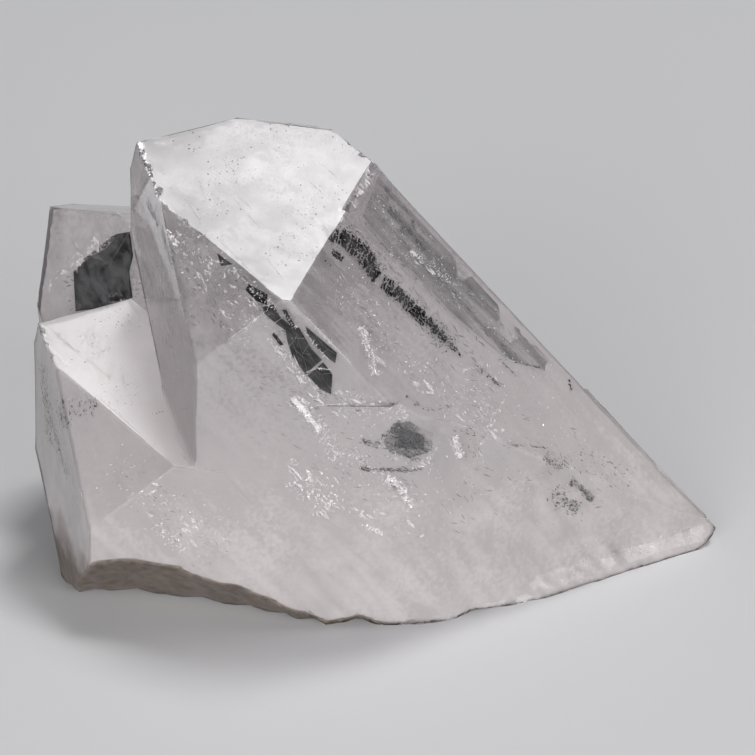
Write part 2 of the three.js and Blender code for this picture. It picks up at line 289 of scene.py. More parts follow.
def add(tree, kind, inputs=None, **settings):
    """Adds a node to a tree. Each input gets a value or another node's output."""
    new = tree.nodes.new(kind)
    for name, value in settings.items():
        setattr(new, name, value)
    for name, value in (inputs or {}).items():
        if isinstance(value, bpy.types.NodeSocket):
            tree.links.new(value, new.inputs[name])
        else:
            new.inputs[name].default_value = value
    return new


def worked_out(tree, how, first, second, **settings):
    """Adds a node that works out one number from two."""
    return add(tree, "ShaderNodeMath", {0: first, 1: second}, operation=how, **settings).outputs[0]


def ramped(tree, value, start, end, low=0, high=1):
    """Adds a node that takes a value from one limit to another between its start and its end."""
    limits = {"Value": value, "From Min": start, "From Max": end, "To Min": low, "To Max": high}
    return add(tree, "ShaderNodeMapRange", limits).outputs[0]


def mixed(tree, share, first, second):
    """Adds a node that goes from one number to another by a share."""
    return add(tree, "ShaderNodeMix", {0: share, 2: first, 3: second}).outputs[0]


def mixed_colors(tree, share, first, second):
    """The same from one colour to another."""
    return add(tree, "ShaderNodeMix", {0: share, 6: first, 7: second}, data_type="RGBA").outputs[2]


def dot_product(tree, first, second):
    """Adds a node that works out how far a place is along a direction, or how alike two directions are."""
    both = {0: first, 1: second}
    return add(tree, "ShaderNodeVectorMath", both, operation="DOT_PRODUCT").outputs["Value"]


def wandering(tree, group, scale, low, high):
    """Adds a group that gives a value between two limits, uneven or drawn out."""
    limits = {"Scale": scale, "From": low, "To": high}
    return add(tree, "ShaderNodeGroup", limits, node_tree=group).outputs[0]


def surfaced(tree, look):
    """Ends a material in one plain surface."""
    surface = add(tree, "ShaderNodeBsdfPrincipled", look).outputs[0]
    add(tree, "ShaderNodeOutputMaterial", {"Surface": surface})


def effect(name, inputs, output):
    """Starts a shader group that turns a few numbers into one."""
    tree = bpy.data.node_groups.new(name, "ShaderNodeTree")
    for label, value in inputs.items():
        socket = tree.interface.new_socket(label, in_out="INPUT", socket_type="NodeSocketFloat")
        socket.default_value = value
    tree.interface.new_socket(output, in_out="OUTPUT", socket_type="NodeSocketFloat")
    return tree, add(tree, "NodeGroupInput").outputs, add(tree, "ShaderNodeTexCoord").outputs["Object"]


def empty_material(name):
    material = bpy.data.materials.new(name)
    material.use_nodes = True
    material.node_tree.nodes.clear()
    return material, material.node_tree


# Uneven: a value that wanders between two limits over the surface.
NOISE_SPAN = (0.35, 0.65)  # the noise is rarely outside
uneven, given, where = effect("uneven", {"Scale": 120, "From": 0, "To": 1}, "Value")
cloudy = add(uneven, "ShaderNodeTexNoise", {"Vector": where, "Scale": given["Scale"], "Detail": 4})
wander = ramped(uneven, cloudy.outputs[0], *NOISE_SPAN, given["From"], given["To"])
add(uneven, "NodeGroupOutput", {"Value": wander})

# Drawn out: the same, drawn out along the crystals' long axis into streaks.
DRAWN_OUT = 0.88  # of the distance along the axis is taken away
drawn_out, given, where = effect("drawn_out", {"Scale": 300, "From": 0, "To": 1}, "Value")
shift = worked_out(drawn_out, "MULTIPLY", dot_product(drawn_out, where, LONG_AXIS), -DRAWN_OUT)
squeeze = add(drawn_out, "ShaderNodeVectorMath", {0: LONG_AXIS, "Scale": shift}, operation="SCALE")
squeezed = add(drawn_out, "ShaderNodeVectorMath", {0: where, 1: squeeze.outputs[0]}, operation="ADD")
grains = {"Vector": squeezed.outputs[0], "Scale": given["Scale"], "Detail": 4}
streaky = add(drawn_out, "ShaderNodeTexNoise", grains)
wander = ramped(drawn_out, streaky.outputs[0], *NOISE_SPAN, given["From"], given["To"])
add(drawn_out, "NodeGroupOutput", {"Value": wander})

# Stained root and painted shade: how much a place is part of the stained underside at the left, which broke
# off the rock, or of the foot of the faces that look left. Its brown is partly a real stain and partly
# painted shade, strongest where a surface looks down. Its two inputs are in metres.
OVERHUNG = (-0.05, -0.2)  # how far it faces up where stain and painted shade start, and where they are full
LEFTWARDS = (-0.6, -0.75)  # how much it looks right, the same
STAIN_SHADE_FADE = (-6, 8)  # mm to the left of the first input, the same
STAIN_SHADE_FOOT = 6.5  # mm, the height up to which the faces that look left are full of it
STAIN_SHADE_EDGE = 2.5  # mm that its upper edge there goes up and down
stain_and_shade, given, where = effect("stain_and_shade", {"Left of": 0.004, "Left up to": 0.0105}, "Share")
normal = add(stain_and_shade, "ShaderNodeNewGeometry").outputs["Normal"]
turned = add(stain_and_shade, "ShaderNodeSeparateXYZ", {0: normal}).outputs
spot = add(stain_and_shade, "ShaderNodeSeparateXYZ", {0: where}).outputs
overhung = ramped(stain_and_shade, turned[2], *OVERHUNG)
low = ramped(stain_and_shade, spot[2], ROOT_TOP * MM, (ROOT_TOP - 1) * MM)
from_right = worked_out(stain_and_shade, "SUBTRACT", given["Left of"], spot[0])
left = ramped(stain_and_shade, from_right, STAIN_SHADE_FADE[0] * MM, STAIN_SHADE_FADE[1] * MM)
under_low = worked_out(stain_and_shade, "MULTIPLY", overhung, low)
under_left = worked_out(stain_and_shade, "MULTIPLY", under_low, left)
leftwards = ramped(stain_and_shade, turned[0], *LEFTWARDS)
edge = wandering(stain_and_shade, uneven, 110, -STAIN_SHADE_EDGE * MM, STAIN_SHADE_EDGE * MM)
level = worked_out(stain_and_shade, "ADD", spot[2], edge)
foot = ramped(stain_and_shade, level, given["Left up to"], STAIN_SHADE_FOOT * MM)
beside = worked_out(stain_and_shade, "MULTIPLY", leftwards, foot)
share = worked_out(stain_and_shade, "MAXIMUM", under_left, beside)
add(stain_and_shade, "NodeGroupOutput", {"Share": share})

BREAK_DULL = 0.21  # roughness of the broken surfaces
SAME_NORMAL = 1 - 1e-6  # the likeness of two normals from which they are the same
ETCHED_WITHIN = math.cos(math.radians(12))  # of the top faces, so that their worn rims are dull too
LET_THROUGH = (0.9, 0.89, 0.89, 1)  # the share of the lamps' light that gets inside
glass, tree = empty_material("clear_quartz")
place = add(tree, "ShaderNodeNewGeometry").outputs
facing_top = dot_product(tree, place["True Normal"], TOP)
etched_part = worked_out(tree, "GREATER_THAN", facing_top, ETCHED_WITHIN)
smudges = wandering(tree, uneven, 130, 0.02, 0.1)
frosted = wandering(tree, uneven, 300, 0.29, 0.31)
grown = mixed(tree, etched_part, smudges, frosted)
# Only the broken faces are shaded smooth, so there the two normals differ.
likeness = dot_product(tree, place["True Normal"], place["Normal"])
broken_part = worked_out(tree, "LESS_THAN", likeness, SAME_NORMAL)
rough = mixed(tree, broken_part, grown, BREAK_DULL)
# The stained root, partly painted shade, browns the glass.
stain_shade_part = add(tree, "ShaderNodeGroup", node_tree=stain_and_shade).outputs[0]
tint = mixed_colors(tree, stain_shade_part, (0.97, 0.955, 0.96, 1), (0.42, 0.35, 0.3, 1))
grain = wandering(tree, uneven, 1100, 0, 1)
bump = add(tree, "ShaderNodeBump", {"Height": grain, "Strength": 0.04, "Distance": 0.00002})
look = {
    "Base Color": tint,
    "Roughness": rough,
    "IOR": 1.544,
    "Transmission Weight": 1.0,
    "Normal": bump.outputs[0],
}
seen = add(tree, "ShaderNodeBsdfPrincipled", look)
lit = add(tree, "ShaderNodeBsdfTransparent", {"Color": LET_THROUGH})
shadow = add(tree, "ShaderNodeLightPath").outputs["Is Shadow Ray"]
either = add(tree, "ShaderNodeMixShader", {0: shadow, 1: seen.outputs[0], 2: lit.outputs[0]})
dim = add(tree, "ShaderNodeVolumeAbsorption", {"Color": (0.9, 0.885, 0.89, 1), "Density": 28})
add(tree, "ShaderNodeOutputMaterial", {"Surface": either.outputs[0], "Volume": dim.outputs[0]})
crystals.data.materials.append(glass)

# The milky clouds
# Swarms of fine bubbles and healed cracks that make the inside of the crystals milky. They follow the
# crystals' form just below the surface, white and thick at the root, thin and grey towards the tips.

CLOUD_DEPTH = (0.06, 0.6)  # mm below the surface, at the ground and from a height on
DEEP_FROM = 8  # mm, that height
CLOUD_GRAIN = 0.6  # mm between the points of a cloud's surface
ROOM_FROM = 0.5  # mm below the surface, where measuring the crystals' thickness starts
THIN_SHARE = 0.42  # of that, the deepest that a cloud's surface lies where the crystals are thin
CLEAR_ABOVE = 58  # mm above the ground, where the milk ends
MILKY_BELOW = 14  # mm, where it is thickest
THICKEST = 1.15  # more than full, so that the streaks at the root are dense too
DENSER = 0.65  # the power that makes thin milk show more
HIDES = (0.05, 0.95)  # how much the thinnest milk hides what is behind it, and the thickest
WHITER = 0.75  # how much the milk's thickness counts for its colour
CLOUD_LUMPS = (0.35, 0.2)  # how much the depth varies, as a share of it, and lumps to a mm
cloud_mesh = bpy.data.meshes.new("milky_clouds_start")
corners = [vert.co for vert in solid.data.vertices]
cloud_mesh.from_pydata(corners, [], [tuple(face.vertices) for face in solid.data.polygons])
swarm = bpy.data.objects.new("milky_clouds_start", cloud_mesh)
bpy.context.scene.collection.objects.link(swarm)
welded = swarm.modifiers.new("weld", "WELD")
welded.merge_threshold = WELD * MM
remesh = swarm.modifiers.new("remesh", "REMESH")
remesh.mode = "VOXEL"
remesh.voxel_size = CLOUD_GRAIN * MM
bm = bmesh.new()
bm.from_object(swarm, bpy.context.evaluated_depsgraph_get())
bpy.data.objects.remove(swarm)
bpy.data.meshes.remove(cloud_mesh)
bmesh.ops.smooth_vert(bm, verts=bm.verts, factor=0.5, use_axis_x=True, use_axis_y=True, use_axis_z=True)
bm.normal_update()
shallow, deep = CLOUD_DEPTH
places = []
for vert in bm.verts:
    vert.co = solid_tree.find_nearest(vert.co)[0]
    depth = shallow + (deep - shallow) * min(1, vert.co.z / MM / DEEP_FROM)
    depth *= 1 + CLOUD_LUMPS[0] * noise.fractal(vert.co / MM * CLOUD_LUMPS[1], 1, 2, 3)
    hit = solid_tree.ray_cast(vert.co - vert.normal * ROOM_FROM * MM, -vert.normal)
    room = hit[3] / MM if hit[3] else 0
    places.append(vert.co - vert.normal * min(depth, THIN_SHARE * room) * MM)
for vert, place in zip(bm.verts, places):
    vert.co = place
for face in bm.faces:
    face.smooth = True
clouds = piece("milky_clouds", bm)

milk, tree = empty_material("milky_cloud")
height = add(tree, "ShaderNodeSeparateXYZ", {0: add(tree, "ShaderNodeTexCoord").outputs["Object"]})
thickness = ramped(tree, height.outputs[2], CLEAR_ABOVE * MM, MILKY_BELOW * MM, 0, THICKEST)
streaks = wandering(tree, drawn_out, 600, -0.08, 0.08)
billows = wandering(tree, uneven, 160, -0.08, 0.08)
wisps = wandering(tree, uneven, 1500, -0.08, 0.08)
calm = wandering(tree, uneven, 90, 0.1, 1.4)
patchy = worked_out(tree, "MULTIPLY", wisps, calm)
loose = worked_out(tree, "ADD", streaks, billows)
looser = worked_out(tree, "ADD", loose, patchy)
thick = worked_out(tree, "ADD", thickness, looser, use_clamp=True)
alpha = ramped(tree, worked_out(tree, "POWER", thick, DENSER), 0, 1, *HIDES)
paleness = worked_out(tree, "ADD", worked_out(tree, "MULTIPLY", thickness, WHITER), looser, use_clamp=True)
color = add(tree, "ShaderNodeValToRGB", {"Fac": paleness})
color.color_ramp.elements[0].color = (0.5, 0.478, 0.489, 1)
color.color_ramp.elements[1].color = (0.56, 0.532, 0.534, 1)
color.color_ramp.elements.new(0.3).color = (0.545, 0.521, 0.529, 1)
color.color_ramp.elements.new(0.75).color = (0.45, 0.427, 0.429, 1)
# The same stain and painted shade brown and darken the milk.
stain_shade_part = add(tree, "ShaderNodeGroup", node_tree=stain_and_shade).outputs[0]
flecks = wandering(tree, uneven, 700, 0, 1)
stain_shade_browns = mixed_colors(tree, flecks, (0.13, 0.105, 0.085, 1), (0.29, 0.245, 0.21, 1))
stained_and_shaded = mixed_colors(tree, stain_shade_part, color.outputs[0], stain_shade_browns)
look = {"Base Color": stained_and_shaded, "Roughness": 0.9, "Alpha": alpha}
surfaced(tree, look)
clouds.data.materials.append(milk)

# The grey sheets
# Old growth faces and healed cracks that still show inside the crystals, greyer than the milk round them:
# large thin plates with straight sides, and mottled patches of small ones. Their grey is partly painted
# shade, darkening the crystals where clearer quartz would show the dark behind it.

chance = random.Random(3)
SHEET_DEPTH = 0.35  # mm below the surface
MOTTLE_DEPTH = 0.25
MOTTLE_THICK = 0.04  # mm
PANE_DEPTHS = (0.14, 0.2)
PANE_RISE = 0.02  # mm, half a whole pane's thickness
PLATE_RISE = (0.02, 0.07)  # the same for a broken plate
PLATE_SHARE = 0.97  # of its part of an outline, that a plate fills
PLATE_TILT = 0.04  # mm that it gets deeper in a mm along the face, or less deep
PLATE_LEAST_DEPTH = 0.15  # mm
FLAKE_CORNERS = (4, 6)
FLAKE_GROWTH = (0.4, 1.4)  # a flake's least size as a share of its kind's, and most added to it
OFF_GROUND = 0.3  # mm, no flake has its middle lower
LOOKED_FROM = 3  # mm above a face, where the search for the surface below starts


def side(stands, number, from_axis, near):
    """The flat face of a crystal nearest a place: highest corner, ways down and across, normal."""
    way = face_direction(stands, number, from_axis)
    alike = [face for face in flat_faces if face[0].dot(way) > FLAT_WITHIN]
    normal, _, corners = min(alike, key=lambda face: (face[1] - Vector(near)).length)
    axis = standing(*stands) @ Vector((0, 0, 1))
    down = (normal * axis.dot(normal) - axis).normalized()
    return max(corners, key=lambda corner: corner.z), down, normal.cross(down), normal


def under(face, down, across, depth):
    """The place a depth below the surface, down and across from a face's highest corner, in mm, if any."""
    corner, way_down, way_across, normal = face
    start = corner + way_down * down + way_across * across + normal * LOOKED_FROM
    hit = solid_tree.ray_cast(start * MM, -normal)[0]
    return hit and hit / MM - normal * depth


TALL_TOP = side(PARALLEL, 0, TIP, (-23.9, -2.1, 61.4))
RIGHT = side(PARALLEL, 0, PRISM, (25, -9.7, 21.6))
FRONT = side(PARALLEL, 5, PRISM, (-11.3, -22.5, 29.3))
FRONT_TIP = side(PARALLEL, 5, TIP, (-27.3, -10.2, 57.8))
LEFT_TIP = side(PARALLEL, 4, TIP, (-32, -2.7, 59.9))
SHORT_TOP = side(PARALLEL, 0, TIP, (-42.6, -6, 34.1))
SHORT_FRONT = side(PARALLEL, 5, PRISM, (-29, -22.7, 10.6))
SHORT_LEFT = side(PARALLEL, 4, TIP, (-45.7, -9.5, 20.8))
BACK_TIP = side(STRAY, 5, TIP, (-39.5, 8.2, 38.9))
# The broken corner, as such a face: its left end on the ground, its ways along and up, its normal.
BROKEN = (Vector((0.2, -27.9, 0)), Vector((0.888, 0.46, 0)), Vector((0, 0, 1)), Vector((0.46, -0.888, 0)))


def lens(bm, rim, rise):
    """Adds a thin closed flake with the given rim, raised to a low point on both sides."""
    middle = sum(rim, Vector()) / len(rim)
    spread = sum(((a - middle).cross(b - middle) for a, b in zip(rim, rim[1:] + rim[:1])), Vector())
    if spread.dot(rise) < 0:
        rim = rim[::-1]
    around = [bm.verts.new(point * MM) for point in rim]
    front = bm.verts.new((middle + rise) * MM)
    back = bm.verts.new((middle - rise) * MM)
    for start, end in zip(around, around[1:] + around[:1]):
        bm.faces.new((start, end, front))
        bm.faces.new((end, start, back))


def is_inside(point):
    """Whether a place in mm is inside the crystals."""
    nearest, normal, _, _ = solid_tree.find_nearest(point * MM)
    return (point * MM - nearest).dot(normal) < 0


def flake(bm, middle, normal, along, size, tilt):
    """Adds one thin flake if all of it is inside. Its length lies along one way, its breadth across it."""
    facing = (normal + Vector([chance.gauss(0, tilt) for _ in range(3)])).normalized()
    across = facing.cross(along).normalized()
    up = across.cross(facing)
    corners = chance.randint(*FLAKE_CORNERS)
    rim = []
    for corner in range(corners):
        turn = -math.tau * (corner + chance.uniform(-0.3, 0.3)) / corners
        rim.append(middle + (up * math.cos(turn) * size[0] + across * math.sin(turn) * size[1]) / 2)
    if all(is_inside(point) for point in rim):
        lens(bm, rim, facing * size[2] / 2)


def strewn(bm, face, route, width, amount, size, depth, turned=0, scatter=0.35, tilt=0.3):
    """Strews flakes in a band along a route on a face, thickest along its middle."""
    for _ in range(amount):
        leg = chance.randrange(len(route) - 1)
        start = Vector(route[leg])
        step = Vector(route[leg + 1]) - start
        beside = Vector((-step.y, step.x)).normalized()
        spot = start + step * chance.random() + beside * width / 2 * chance.triangular(-1, 1)
        turn = turned + chance.gauss(0, scatter)
        way = step.normalized() * math.cos(turn) + beside * math.sin(turn)
        grow = FLAKE_GROWTH[0] + FLAKE_GROWTH[1] * chance.random() ** 2
        middle = under(face, spot.x, spot.y, depth * chance.uniform(0.8, 1.2))
        along = face[1] * way.x + face[2] * way.y
        if middle and middle.z > OFF_GROUND:
            flake(bm, middle, face[3], along, [part * grow for part in size], tilt)


def pane(bm, face, outline, depth):
    """Adds one whole thin plate with a given outline."""
    lens(bm, [under(face, down, across, depth) for down, across in outline], face[3] * PANE_RISE)


def split(outline, times):
    """Breaks a flat outline into smaller ones along straight cracks."""
    if not times:
        return [outline]
    middle = sum(outline, Vector((0, 0))) / len(outline)
    turn = chance.uniform(0, math.pi)
    halves = ([], [])
    for start, end in zip(outline, outline[1:] + outline[:1]):
        before = (start - middle).dot(Vector((math.cos(turn), math.sin(turn))))
        after = (end - middle).dot(Vector((math.cos(turn), math.sin(turn))))
        halves[before < 0].append(start)
        if before * after < 0:
            crossing = start.lerp(end, before / (before - after))
            halves[0].append(crossing)
            halves[1].append(crossing)
    return [part for half in halves if len(half) > 2 for part in split(half, times - 1)]


def shattered(bm, face, outline, times, depth):
    """Adds the plates of a sheet or a gap, each a little smaller than its share and a little tilted."""
    for part in split([Vector(point) for point in outline], times):
        middle = sum(part, Vector((0, 0))) / len(part)
        tilt = Vector((chance.gauss(0, PLATE_TILT), chance.gauss(0, PLATE_TILT)))
        rim = []
        for point in part:
            spot = middle.lerp(point, PLATE_SHARE)
            sunk = max(PLATE_LEAST_DEPTH, depth + (spot - middle).dot(tilt))
            rim.append(under(face, spot.x, spot.y, sunk))
        lens(bm, rim, face[3] * chance.uniform(*PLATE_RISE))


# Each sheet: its face, how often it is split in two, and its outline.
UPPER_RIGHT = [(0.6, -0.8), (16, -0.8), (44, -0.9), (33, -7.2), (21.3, -8.8), (13.1, -8.7)]
UPPER_RIGHT += [(8.1, -9.3), (1.7, -8.4)]
FRONT_WINDOW = [(25, -1.3), (26.5, 0.6), (30.6, 1.2), (32.6, -0.6), (30.9, -3.4), (28.1, -4.7), (26.2, -4.1)]
SHEETS = [
    (RIGHT, 0, UPPER_RIGHT),
    (FRONT, 3, FRONT_WINDOW),
    (FRONT, 2, [(25.8, -0.9), (29.8, 0.4), (31.4, -1.2), (28.4, -3.4)]),
]
# Each patch: its face, the route along it, its width, how many flakes, and their length and breadth.
MOTTLES = [
    (RIGHT, [(2, -2.6), (13, -4)], 6, 240, (0.72, 0.24)),
    (RIGHT, [(14, -5), (34, -5)], 6, 190, (0.9, 0.14)),
    (RIGHT, [(2, -11), (30, -11)], 3, 130, (0.9, 0.14)),
    (LEFT_TIP, [(9, 5), (17.2, 10.3)], 3.5, 240, (0.96, 0.12)),
    (LEFT_TIP, [(16, 4), (30, 6)], 8, 140, (0.96, 0.14)),
    (FRONT_TIP, [(4, -2), (20, 0)], 10, 210, (0.78, 0.17)),
    (SHORT_LEFT, [(6, 0), (18, -1)], 7, 240, (0.54, 0.21)),
    (SHORT_LEFT, [(10, 11), (14, 5)], 6, 180, (0.54, 0.21)),
    (BACK_TIP, [(3, -14), (12, -3)], 7, 190, (0.54, 0.21)),
    (FRONT, [(52.6, 4.8), (58, 5.1)], 3.2, 140, (0.36, 0.21)),
    (FRONT, [(47.3, 7.9), (51, 8)], 2.2, 100, (0.36, 0.17)),
    (FRONT, [(53.6, 7.4), (58.6, 7.5)], 1.3, 270, (0.36, 0.21)),
    (FRONT, [(51.2, 10), (61.8, 12.2)], 3, 100, (0.48, 0.21)),
    (FRONT, [(25.2, -2), (32.2, -1.8)], 5, 260, (0.48, 0.21)),
    (FRONT, [(27.2, -9.3), (33.7, -3.2)], 1.2, 140, (0.48, 0.14)),
    (FRONT, [(23.9, -6.2), (26.2, -4.9)], 1.4, 100, (0.3, 0.14)),
    (FRONT, [(7.2, -9.8), (21.2, -3.8)], 9, 160, (0.6, 0.14)),
    (FRONT, [(12, -11), (46, -3)], 19, 300, (0.8, 0.09)),
    (FRONT, [(40, 0), (60, 8)], 14, 140, (0.7, 0.09)),
    (RIGHT, [(8, -20), (50, -12)], 13, 240, (0.9, 0.09)),
    (SHORT_FRONT, [(-3, -8), (15, -3)], 12, 170, (0.6, 0.09)),
    (SHORT_LEFT, [(6, 3), (26, 8)], 9, 150, (0.6, 0.09)),
]
# The outline of the two whole panes that grey the painted-shade window at the back left.
GREYED = [(2.3, -11), (2.3, -7.5), (2.9, -4.6), (2.6, -2), (3.5, -0.3), (6.5, -2), (9.3, -4.8)]
GREYED += [(11, -5.8), (8.2, -12), (6.8, -14.2)]
bm = bmesh.new()
for face, times, outline in SHEETS:
    shattered(bm, face, outline, times, SHEET_DEPTH)
for face, route, width, amount, (length, breadth) in MOTTLES:
    strewn(bm, face, route, width, amount, (length, breadth, MOTTLE_THICK), MOTTLE_DEPTH)
for depth in PANE_DEPTHS:
    pane(bm, BACK_TIP, GREYED, depth)
sheets = piece("grey_sheets", bm)
grey, tree = empty_material("grey_sheet")
# Dark grey and see-through in streaks: partly painted shade.
patchy = wandering(tree, drawn_out, 600, 0.03, 0.34)
look = {"Base Color": (0.13, 0.13, 0.135, 1), "Roughness": 0.5, "Alpha": patchy}
surfaced(tree, look)
sheets.data.materials.append(grey)

# The dark gaps, coloured as painted shade
# Flat gaps along cracks inside the crystals, coloured near black as painted shade: the dark that clear
# quartz would show with nothing pale behind it. The wide ones are broken into plates with straight sides,
# the narrow ones are rows of teeth and of grains.

GAP_DEPTH = 0.3  # mm below the surface
GRAIN_THICK = 0.06  # mm
SPECK_DEPTH = 0.1
SPECK_SIZE = (0.2, 0.13, 0.05)  # mm: length, breadth and thickness
TOOTH = 0.26  # mm from one tooth of a row to the next
TOOTH_RISE = 0.02  # mm, half a tooth's thickness
MISSING = 0.2  # share of the teeth that are missing


def toothed(bm, face, route, width):
    """Lays narrow plates side by side across a route, with uneven ends, like teeth."""
    for begin, end in zip(route, route[1:]):
        step = Vector(end) - Vector(begin)
        onwards = step.normalized()
        beside = Vector((-onwards.y, onwards.x))
        for number in range(round(step.length / TOOTH)):
            if chance.random() < MISSING:
                continue
            spot = Vector(begin) + onwards * number * TOOTH
            way = (beside + onwards * chance.gauss(0, 0.2)) * width / 2
            half = onwards * TOOTH * chance.uniform(0.4, 0.7)
            reach = -chance.uniform(0.5, 1)
            far = chance.uniform(0.5, 1)
            while reach < far:
                onto = min(far, reach + chance.uniform(0.25, 0.9))
                ends = (spot + way * onto, spot + way * reach)
                rim = [ends[0] - half, ends[0] + half, ends[1] + half, ends[1] - half]
                lens(bm, [under(face, point.x, point.y, GAP_DEPTH) for point in rim], face[3] * TOOTH_RISE)
                reach = onto + chance.uniform(0.05, 0.3)


BACK_WINDOW = [(2, -11.2), (2, -7.7), (4.6, -5.6), (8.4, -3.7), (11.5, -5.5), (8.5, -12), (6.9, -14.6)]
GAPS = [
    (FRONT, 3, [(3.4, -2.4), (4.8, -1), (8.4, -1.9), (10.7, -1.9), (10.9, -5.2), (7.6, -4.7), (5.4, -3.7)]),
    (FRONT, 2, [(11, -2), (13.3, -2.3), (15.6, -4.5), (14, -5.1), (11.2, -5.1)]),
    (FRONT, 2, [(5.2, -0.2), (8.1, 0.1), (11.2, 0.4), (12.3, -0.9), (9.2, -1.3), (6.2, -0.8)]),
    (FRONT, 1, [(3.1, -4.2), (5.5, -4.4), (5.3, -4.9), (3.3, -4.7)]),
    (FRONT_TIP, 0, [(11.2, 3.3), (13.9, 4.4), (13.1, 2.8)]),
    (FRONT_TIP, 1, [(17.5, 4.9), (20.5, 6.6), (21.7, 5.7), (20.2, 4.6), (18, 4.1)]),
    (FRONT_TIP, 1, [(21.5, 5), (22.2, 6.6), (24, 6.1), (23.9, 4.9), (22.3, 4.7)]),
    (FRONT_TIP, 0, [(24, 6.1), (25.8, 6.5), (26.6, 5.5), (24, 4.9)]),
    (FRONT_TIP, 0, [(23.2, 7), (23.5, 7.5), (26.5, 6.4), (26.3, 5.9)]),
    (BACK_TIP, 0, BACK_WINDOW),
    (BACK_TIP, 1, [(2.7, -6.4), (2.9, -3.7), (2.4, -2), (3.5, 0), (6.6, -1.7), (8.4, -4.2), (4.6, -6.1)]),
]
ROWS = [
    (RIGHT, [(-0.9, -14.9), (2.6, -13.6), (6.3, -13.5), (9, -14.2)], 2.6),
    (RIGHT, [(0.4, -13.4), (4.4, -12), (7.6, -12.4)], 1.8),
    (RIGHT, [(0.6, -16.9), (3.2, -16.4)], 1.2),
    (RIGHT, [(7.2, -14.2), (8.9, -14)], 2.4),
    (RIGHT, [(10.1, -13.9), (12.6, -13.4), (14.1, -13.3)], 2.6),
    (RIGHT, [(13, -13), (18.4, -12.8), (23.4, -12.9)], 1.6),
    (RIGHT, [(14.4, -14), (19, -13.8)], 1.4),
    (LEFT_TIP, [(8.6, 1.4), (11.4, 5.6)], 0.5),
    (BACK_TIP, [(2.1, -9), (2.6, -2)], 0.8),
]
GRAINS = [
    (RIGHT, [(-0.9, -14.4), (2.6, -13), (6.3, -12.9), (9, -13.7)], 5.4, 620, (0.24, 0.12)),
    (RIGHT, [(10.1, -13.6), (18.4, -13.2), (24.5, -12.9)], 4.2, 620, (0.24, 0.12)),
    (RIGHT, [(24, -12.9), (26.8, -12.6)], 1.2, 40, (0.4, 0.14)),
    (RIGHT, [(29, -12.1), (31.9, -11.7), (34.3, -11.3)], 0.8, 70, (0.3, 0.1)),
    (RIGHT, [(32.3, -8), (35.8, -7.9)], 0.3, 40, (0.35, 0.08)),
    (RIGHT, [(34.5, -6.3), (38.5, -3.4)], 0.3, 40, (0.35, 0.08)),
    (RIGHT, [(43.3, -1), (44.8, -2)], 0.6, 24, (0.35, 0.1)),
    (RIGHT, [(1.7, -8.6), (8.1, -9.3), (13.1, -8.9), (21.3, -9), (35.7, -7.8)], 0.3, 120, (0.5, 0.06)),
    (LEFT_TIP, [(8, 2), (11.5, 6)], 1.6, 160, (0.34, 0.1)),
    (LEFT_TIP, [(11.6, 7.2), (16.8, 10.5)], 1.8, 200, (0.4, 0.08)),
    (SHORT_LEFT, [(6, -1), (18, -1)], 5, 150, (0.5, 0.14)),
    (SHORT_LEFT, [(10, 11), (14, 6)], 4, 120, (0.5, 0.14)),
    (SHORT_LEFT, [(16, 2), (22, 6)], 3, 110, (0.6, 0.1)),
    (SHORT_LEFT, [(12, 1), (20, 3)], 5, 60, (1.1, 0.06)),
    (SHORT_TOP, [(-9.1, -9.9), (-3.9, -11.9), (3.5, -14.3)], 0.1, 90, (0.45, 0.05)),
    (FRONT, [(52.6, 4.6), (58, 5.1)], 2.6, 60, (0.3, 0.12)),
    (FRONT, [(47.3, 7.9), (51, 8)], 1.6, 30, (0.3, 0.12)),
    (FRONT, [(41, 5.9), (47.3, 8.6)], 0.15, 60, (0.5, 0.06)),
    (FRONT, [(23.5, 2.4), (26.8, 2.6), (30.6, 4.7)], 0.5, 50, (0.5, 0.08)),
    (FRONT, [(33.2, 4.7), (39.2, 1.7)], 4.5, 70, (0.4, 0.06)),
    (FRONT, [(27.2, -9.3), (33.2, -3.6)], 0.6, 60, (0.5, 0.08)),
    (FRONT, [(25.2, -2.8), (32.2, -1.3)], 4.5, 120, (0.3, 0.1)),
    (FRONT, [(3.2, -3.8), (16.2, -4.8)], 3, 90, (0.35, 0.08)),
    (FRONT_TIP, [(16, 4), (27, 6)], 2.4, 90, (0.35, 0.08)),
]
# Specks: face, route, width, how many; small black flakes just under the top faces, seen as dark specks.
SPECKS = [
    (TALL_TOP, [(0, -17), (3, -18)], 4, 70),
    (TALL_TOP, [(7, -9), (12, -9.5)], 5, 90),
    (TALL_TOP, [(8, 0), (13, 1)], 5, 90),
    (TALL_TOP, [(-6, -14), (-3, -12)], 4, 40),
    (TALL_TOP, [(17, -10), (21, -18)], 5, 60),
    (TALL_TOP, [(-5, -8), (16, -10)], 22, 260),
    (SHORT_TOP, [(-4, -8), (1, -11)], 4, 90),
    (SHORT_TOP, [(-7, -10), (8, -16)], 7, 120),
]
bm = bmesh.new()
for face, times, outline in GAPS:
    shattered(bm, face, outline, times, GAP_DEPTH)
for face, route, width in ROWS:
    toothed(bm, face, route, width)
for face, route, width, amount, (length, breadth) in GRAINS:
    strewn(bm, face, route, width, amount, (length, breadth, GRAIN_THICK), GAP_DEPTH, scatter=0.7)
for face, route, width, amount in SPECKS:
    strewn(bm, face, route, width, amount, SPECK_SIZE, SPECK_DEPTH, scatter=1.5)
gaps = piece("painted_shade_gaps", bm)
# Near black with faint streaks: painted shade, whatever lies behind the gaps.
black, tree = empty_material("painted_shade_gap")
fine = wandering(tree, drawn_out, 2200, 0, 0.035)
broad = wandering(tree, uneven, 420, -0.02, 0.035)
tone = worked_out(tree, "ADD", fine, broad, use_clamp=True)
tint = add(tree, "ShaderNodeCombineColor", {0: tone, 1: tone, 2: tone})
look = {"Base Color": tint.outputs[0], "Roughness": 0.35, "Specular IOR Level": 0.1}
surfaced(tree, look)
gaps.data.materials.append(black)
